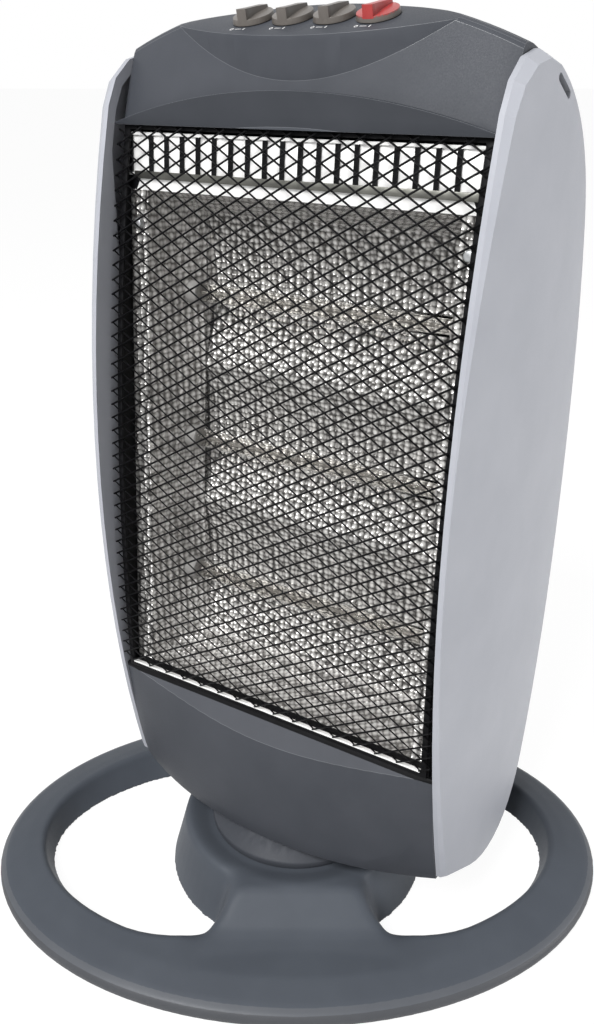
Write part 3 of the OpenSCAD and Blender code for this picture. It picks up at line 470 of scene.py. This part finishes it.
# Depths and heights are in the reflector's own space: right, back and up from its lower lip
reflector = {
    "lipBack": 0.028,
    "lipHeight": 0.136,
    "lean": -4.27,
    "flangeBack": 0.0009,
    "flangeFront": -0.0005,
    "mouthTop": 0.2948,
    "mouthFoot": -0.0002,
    "stripHalf": 0.1030,
    "mitre": 0.5,
    "lipLine": -0.0056,
    "lipTop": 0.0005,
    "wallTurn": 0.6,
    "rails": (0.3039, 0.3233),
    "ledge": (0.206, 0.0020, 0.0040),
    "ledgeEdge": 0.0004,
    "ledgeHeight": 0.3028,
}
reflectorSpace = (headSpace @ Matrix.Translation((0, -reflector["lipBack"], reflector["lipHeight"]))
                  @ Matrix.Rotation(math.radians(reflector["lean"]), 4, "X"))
toReflector = reflectorSpace.inverted()
toReflectorTurn = toReflector.to_3x3()


def paintReflector(piece, values):
    # bright above the mouth and along the lip's front, a pale sheet whose white is partly painted reflection;
    # black on the lip behind that, as painted shade; hammered elsewhere
    bright = addFinish(piece, paintedHighlights["mirror_aluminium"])
    black = addFinish(piece, finishes["black_steel"])
    cutAcross(piece, reflectorSpace, (0, 0, values["mouthTop"]), (0, 0, 1))
    cutAcross(piece, reflectorSpace, (0, 0, values["mouthFoot"]), (0, 0, 1))
    cutAcross(piece, reflectorSpace, (0, values["lipLine"], 0), (0, 1, 0))
    cutAcross(piece, reflectorSpace, (0, 0, values["ledgeHeight"]), (0, 0, 1))
    for side in (-1, 1):
        cutAcross(piece, reflectorSpace, (side * values["stripHalf"], 0, values["mouthTop"]),
                  (1, 0, side * values["mitre"]))

    # front faces are black; on the lip behind its bright front line this black is painted shade
    def isBlack(c, n):
        place = toReflector @ c
        above = place.y < values["flangeBack"] and place.z > values["mouthTop"]
        return place.y < values["flangeFront"] or above

    def isBright(c, n):
        place = toReflector @ c
        if place.y > values["flangeBack"]:
            return False
        if place.z > values["ledgeHeight"]:
            return True
        if place.z > values["mouthTop"]:
            return abs(place.x) < values["stripHalf"] - (place.z - values["mouthTop"]) * values["mitre"]
        return place.y < values["lipLine"] and place.z < values["lipTop"]

    def isWall(c, n):
        behind = (toReflector @ c).y > values["flangeBack"]
        return behind and abs((toReflectorTurn @ n).y) < values["wallTurn"]

    paintFaces(piece, black, isBlack)
    paintFaces(piece, bright, isBright)
    # the slanting walls get less light than the back, so their sheet is a little brighter
    paintFaces(piece, addFinish(piece, wallSheet), isWall)


def paintComb(piece, values):
    # the comb's two rails take the same bright finish as the sheet behind them, whose white is partly painted
    # reflection
    bright = addFinish(piece, paintedHighlights["mirror_aluminium"])
    low, high = values["rails"]
    for height in values["rails"]:
        cutAcross(piece, reflectorSpace, (0, 0, height), (0, 0, 1))

    def onRail(c, n):
        return not low < (toReflector @ c).z < high

    paintFaces(piece, bright, onRail)


def paintPanelTop(piece, height):
    # black trim along the top of the lower panel
    black = addFinish(piece, finishes["black_steel"])
    cutAcross(piece, headSpace, (0, 0, height), (0, 0, 1))

    def isTop(c, n):
        return (toHead @ c).z > height

    paintFaces(piece, black, isTop)


def makeLedge(values):
    # grey ledge along the foot of the vent, folded forward out of the sheet
    bpy.ops.object.select_all(action="DESELECT")
    bpy.ops.mesh.primitive_cube_add(size=1, location=(0, 0, 0))
    piece = bpy.context.object
    piece.name = "ventLedge"
    piece.scale = values["ledge"]
    bpy.ops.object.transform_apply(location=True, rotation=True, scale=True)
    bevelAll(values["ledgeEdge"])
    front = -values["ledge"][1] / 2
    settle(piece, reflectorSpace @ Matrix.Translation((0, front, values["ledgeHeight"])))
    bpy.ops.object.shade_smooth_by_angle(angle=creaseAngle)
    finishPiece(piece, "mirror_aluminium", "head")
    piece.data.materials[0] = ledgeGrey


paintReflector(pieces["reflector"], reflector)
paintComb(pieces["vent_comb"], reflector)
paintPanelTop(pieces["lower_panel"], facet["trimFoot"])
makeLedge(reflector)

filament = {
    "wire": 0.0002,
    "coil": 0.00095,
    "turns": 168,
    "steps": 10,
    "inset": 0.004,
    "tailRadius": 0.0011,
    "tailLength": 0.006,
    "tailEdge": 0.0003,
    "tailInset": 0.003,
    "lampGap": 0.01,
}


def lampHeights(points, gap):
    # height of each lamp's axis, halfway between the lowest and highest points of its filament
    rows = []
    for height in sorted({round(p.z, 3) for p in points}):
        if not rows or height - rows[-1][-1] > gap:
            rows.append([height])
        else:
            rows[-1].append(height)
    return [(row[0] + row[-1]) / 2 for row in rows]


def windCoil(values, pitch, space):
    bpy.ops.object.select_all(action="DESELECT")
    bpy.ops.mesh.primitive_circle_add(vertices=6, radius=values["wire"], location=(0, 0, 0))
    coil = bpy.context.object
    bpy.ops.object.mode_set(mode="EDIT")
    bpy.ops.mesh.select_all(action="SELECT")
    bpy.ops.transform.rotate(value=math.radians(90), orient_axis="X", center_override=(0, 0, 0))
    bpy.ops.transform.translate(value=(values["coil"], 0, 0))
    bpy.ops.object.mode_set(mode="OBJECT")
    applyModifier(coil, "SCREW", axis="Z", screw_offset=pitch, iterations=values["turns"],
                  steps=values["steps"], render_steps=values["steps"], use_smooth_shade=True)
    settle(coil, space)
    return coil


def makeTail(values, space):
    # straight end of a coil, running into the ceramic
    bpy.ops.object.select_all(action="DESELECT")
    bpy.ops.mesh.primitive_cylinder_add(vertices=12, radius=values["tailRadius"],
                                        depth=values["tailLength"], end_fill_type="NGON")
    tail = bpy.context.object
    bevelAll(values["tailEdge"])
    settle(tail, space)
    return tail


def makeFilaments(values):
    # a wound coil with two tails in each lamp, along the CAD filaments
    points = [toReflector @ v.co for v in frame["nodes"]["lamp_filaments"].data.vertices]
    span = max(p.x for p in points)
    depth = sum(p.y for p in points) / len(points)
    pitch = 2 * (span - values["inset"]) / values["turns"]
    lying = Matrix.Rotation(math.radians(90), 4, "Y")
    made = []
    for height in lampHeights(points, values["lampGap"]):
        start = Matrix.Translation((values["inset"] - span, depth, height))
        coil = windCoil(values, pitch, reflectorSpace @ start @ lying)
        for side in (-1, 1):
            end = Matrix.Translation((side * (span - values["tailInset"]), depth, height))
            made.append(makeTail(values, reflectorSpace @ end @ lying))
        made.append(coil)
    piece = joinParts(made, "filamentCoils")
    bpy.ops.object.shade_smooth_by_angle(angle=math.radians(50))
    finishPiece(piece, "tungsten", "head", "lamp_filaments")
    low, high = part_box("lamp_filaments")
    print("filaments wound, width in the frame:", round(high[0] - low[0], 3))


makeFilaments(filament)


def makeGuard():
    # the wires' flat sides are welded and shaded as round
    piece = mergedCopy("guard_mesh", "wireGuard", 0)
    selectOnly(piece)
    bpy.ops.object.shade_smooth_by_angle(angle=math.radians(70))
    finishPiece(piece, "black_steel", "head", "guard_mesh")


makeGuard()
print("reflector, lamps and guard ready")


knob = {
    "names": ("knob_swing", "knob_heat_1", "knob_heat_2", "knob_heat_3"),
    "pieces": ("swingKnob", "firstHeatKnob", "secondHeatKnob", "thirdHeatKnob"),
    "pitch": 0.024,
    "back": 0.0155,
    "height": 0.5143,
    "tilt": 20,
    "flangeTop": 0.0030,
    "flangeSlack": 0.0001,
    "rim": 0.0005,
}
# The ring is (right, radius) and each bar (right, width, depth), all in front of the knob's axis
mark = {
    "pieces": ("knobMarksA", "knobMarksB", "knobMarksC", "knobMarksD"),
    "front": 0.0135,
    "ring": (-0.0050, 0.0009),
    "ringWire": 0.00022,
    "ringShape": (0.8, 1.25, 0.3),
    "bars": ((-0.0012, 0.0036, 0.00035), (0.0024, 0.0006, 0.0022)),
    "lift": 0.00004,
    "thickness": 0.00012,
}


def consoleSpace(i):
    # takes a place on the console face below knob i to the frame
    return (headSpace @ Matrix.Translation(((i - 1.5) * knob["pitch"], knob["back"], knob["height"]))
            @ Matrix.Rotation(math.radians(knob["tilt"]), 4, "X"))


def makeKnob(i, values):
    # the grip has the knob's own finish, the flange below it is taupe, with a painted highlight on its
    # rounded rim
    nodeName = values["names"][i]
    piece = mergedCopy(nodeName, values["pieces"][i])
    finishPiece(piece, slotOf[nodeName], bodyOf[nodeName], nodeName)
    roundEdges(piece, values["rim"], 3, 32, "taupe_plastic")
    plain = addFinish(piece, finishes["taupe_plastic"])
    toConsole = consoleSpace(i).inverted()

    def onGrip(c, n):
        return (toConsole @ c).z > values["flangeTop"] + values["flangeSlack"]

    def onFlange(c, n):
        return (toConsole @ c).z < values["flangeTop"] - values["rim"]

    paintFaces(piece, 0, onGrip)
    paintFaces(piece, plain, onFlange)


def makeMarks(i, values):
    # a ring, a dash and an upright bar for off and on, printed on the console face before knob i
    right, radius = values["ring"]
    bpy.ops.object.select_all(action="DESELECT")
    bpy.ops.mesh.primitive_torus_add(location=(right, -values["front"], values["lift"]), major_radius=radius,
                                     minor_radius=values["ringWire"], major_segments=24, minor_segments=6)
    ring = bpy.context.object
    ring.scale = values["ringShape"]
    bpy.ops.object.transform_apply(location=True, rotation=True, scale=True)
    made = [ring]
    for right, width, depth in values["bars"]:
        bpy.ops.object.select_all(action="DESELECT")
        bpy.ops.mesh.primitive_cube_add(size=1, location=(right, -values["front"], values["lift"]))
        bar = bpy.context.object
        bar.scale = (width, depth, values["thickness"])
        bpy.ops.object.transform_apply(location=True, rotation=True, scale=True)
        made.append(bar)
    piece = joinParts(made, values["pieces"][i])
    settle(piece, consoleSpace(i))
    piece.data.materials.clear()
    piece.data.materials.append(printInk)
    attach(piece, "head")


for i in range(4):
    makeKnob(i, knob)
    makeMarks(i, mark)
print("knobs and marks ready")


# Each pad is (right, back, radius, foot, top) in the corner where both are positive. The half width
# and the reach of the bridges go from hub to ring.
base = {
    "voxel": 0.0015,
    "bridgeHalf": (0.038, 0.064),
    "bridgeReach": (0.066, 0.105),
    "ledge": 0.006,
    "blend": 0.013,
    "blendGain": 1.6,
    "blendPasses": 60,
    "skinPasses": 4,
    "kept": 0.7,
    "pads": ((0.0566, 0.0962, 0.0047, 0.0042, 0.0140), (0.0482, 0.0858, 0.0042, 0.0110, 0.0212)),
    # the heights between which the ring's edge takes a painted highlight
    "edge": (0.0101, 0.0122),
    "half": (0.2, 0.1425),
    "outer": 0.93,
}


def makePads(values):
    # round pads behind the sides of the bridges, which close small openings there
    pads = []
    for x, y, radius, low, high in values["pads"]:
        for place in ((x, y), (-x, y), (x, -y), (-x, -y)):
            bpy.ops.object.select_all(action="DESELECT")
            bpy.ops.mesh.primitive_cylinder_add(vertices=32, radius=radius, depth=high - low,
                                                location=(*place, (low + high) / 2))
            pads.append(bpy.context.object)
    return pads


def weighBlend(piece, values):
    # weights the skin by its nearness to the bridges' sides, for the smoothing to work on
    near = piece.vertex_groups.new(name="blend")
    hubHalf, ringHalf = values["bridgeHalf"]
    start, end = values["bridgeReach"]
    for v in piece.data.vertices:
        x, y, z = v.co
        if z < values["ledge"]:
            continue
        along = min(max((abs(y) - start) / (end - start), 0), 1)
        edge = abs(abs(x) - (hubHalf + (ringHalf - hubHalf) * along))
        beyond = max(start - abs(y), abs(y) - end, 0)
        weight = 1 - math.hypot(edge, beyond) / values["blend"]
        if weight > 0:
            near.add([v.index], min(1, values["blendGain"] * weight), "REPLACE")


def makeBase(values):
    # one skin over ring, hub and bridges, with the bridges' sides blended into both
    piece = joinParts([mergedCopy("base_shell", "baseMoulding", 0)] + makePads(values), "baseMoulding")
    applyModifier(piece, "REMESH", mode="VOXEL", voxel_size=values["voxel"], adaptivity=0)
    weighBlend(piece, values)
    applyModifier(piece, "SMOOTH", factor=0.5, iterations=values["blendPasses"], vertex_group="blend")
    applyModifier(piece, "SMOOTH", factor=0.5, iterations=values["skinPasses"])
    applyModifier(piece, "DECIMATE", ratio=values["kept"])
    finishPiece(piece, "base_plastic", "base", "base_shell")
    # the ring's outer side is greyer than its top, with a painted highlight along the edge between them
    side = addFinish(piece, baseSide)
    rim = addFinish(piece, baseRimHighlight)
    edgeLow, edgeHigh = values["edge"]
    for height in values["edge"]:
        cutAcross(piece, Matrix(), (0, 0, height), (0, 0, 1))

    def isOuter(c):
        return math.hypot(c.x / values["half"][0], c.y / values["half"][1]) > values["outer"]

    def onSide(c, n):
        return isOuter(c) and c.z < edgeLow and n.z > -0.5

    def onRimHighlight(c, n):
        return isOuter(c) and edgeLow < c.z < edgeHigh and n.z > 0

    paintFaces(piece, side, onSide)
    paintFaces(piece, rim, onRimHighlight)
    selectOnly(piece)
    bpy.ops.object.shade_smooth()


makeBase(base)
print("base moulding ready")


studio = {
    "floorSize": 60,
    "floorPaint": (0.88, 0.88, 0.88, 1),
    "floorGlow": 1.1,
    "glowShare": 0.86,
    "softLight": 0.2,
}
# Lamp: place, target, width and height, power in watts
lamps = {
    "keyLamp": ((-0.9, -1.3, 1.75), (0, 0, 0.22), (1.0, 0.9), 62),
    "fillLamp": ((1.8, -0.5, 0.3), (0, 0, 0.3), (1.0, 0.6), 18),
    "topLamp": ((0.2, 0.5, 1.9), (0, 0, 0.3), (1.4, 0.9), 2),
}


def seenDirectly(nodes, links):
    # 1 for rays from the camera, through glass or off a shiny surface, 0 for light on the object
    path = nodes.new("ShaderNodeLightPath")
    total = path.outputs["Is Camera Ray"]
    for kind in ("Is Transmission Ray", "Is Glossy Ray"):
        either = nodes.new("ShaderNodeMath")
        either.operation = "MAXIMUM"
        links.new(total, either.inputs[0])
        links.new(path.outputs[kind], either.inputs[1])
        total = either.outputs[0]
    return total


def makeFloor(values):
    # white where it is seen, with a share of plain paint that keeps the object's shadow
    bpy.ops.object.select_all(action="DESELECT")
    bpy.ops.mesh.primitive_plane_add(size=values["floorSize"], location=(0, 0, 0))
    floor = bpy.context.object
    floor.name = "studioFloor"
    mat, nodes, links = newMaterial("studioFloor")
    out = nodes.new("ShaderNodeOutputMaterial")
    paint = nodes.new("ShaderNodeBsdfDiffuse")
    paint.inputs["Color"].default_value = values["floorPaint"]
    glow = nodes.new("ShaderNodeEmission")
    glow.inputs["Strength"].default_value = values["floorGlow"]
    share = nodes.new("ShaderNodeMath")
    share.operation = "MULTIPLY"
    share.inputs[1].default_value = values["glowShare"]
    links.new(seenDirectly(nodes, links), share.inputs[0])
    mix = nodes.new("ShaderNodeMixShader")
    links.new(share.outputs[0], mix.inputs["Fac"])
    links.new(paint.outputs["BSDF"], mix.inputs[1])
    links.new(glow.outputs["Emission"], mix.inputs[2])
    links.new(mix.outputs["Shader"], out.inputs["Surface"])
    floor.data.materials.append(mat)


def makeWorld(strength):
    # white where it is seen, and a soft light of the given strength on the object
    world = bpy.data.worlds.new("studio")
    bpy.context.scene.world = world
    world.use_nodes = True
    nodes, links = world.node_tree.nodes, world.node_tree.links
    nodes.clear()
    out = nodes.new("ShaderNodeOutputWorld")
    soft = nodes.new("ShaderNodeBackground")
    soft.inputs["Strength"].default_value = strength
    soft.inputs["Color"].default_value = (1, 1, 1, 1)
    white = nodes.new("ShaderNodeBackground")
    white.inputs["Color"].default_value = (1, 1, 1, 1)
    mix = nodes.new("ShaderNodeMixShader")
    links.new(seenDirectly(nodes, links), mix.inputs["Fac"])
    links.new(soft.outputs["Background"], mix.inputs[1])
    links.new(white.outputs["Background"], mix.inputs[2])
    links.new(mix.outputs["Shader"], out.inputs["Surface"])


def makeLamp(name, place, target, size, power):
    data = bpy.data.lights.new(name, "AREA")
    data.shape = "RECTANGLE"
    data.size, data.size_y = size
    data.energy = power
    lamp = bpy.data.objects.new(name, data)
    bpy.context.scene.collection.objects.link(lamp)
    lamp.location = place
    lamp.rotation_euler = (Vector(target) - Vector(place)).to_track_quat("-Z", "Y").to_euler()


camera = {
    "place": (0.0, -0.531, 0.4912),
    "pitch": 24.0,
    "lens": 23.29,
    "sensor": 24.0,
}


def makeCamera(values):
    data = bpy.data.cameras.new("camera")
    data.sensor_fit = "VERTICAL"
    data.sensor_height = values["sensor"]
    data.sensor_width = values["sensor"]
    data.lens = values["lens"]
    data.clip_start = 0.01
    cam = bpy.data.objects.new("camera", data)
    bpy.context.scene.collection.objects.link(cam)
    cam.location = values["place"]
    cam.rotation_euler = (math.radians(90 - values["pitch"]), 0, 0)
    bpy.context.scene.camera = cam


makeFloor(studio)
makeWorld(studio["softLight"])
for name, (place, target, size, power) in lamps.items():
    makeLamp(name, place, target, size, power)
makeCamera(camera)
bpy.context.scene.view_settings.view_transform = "Standard"

print("scene ready")
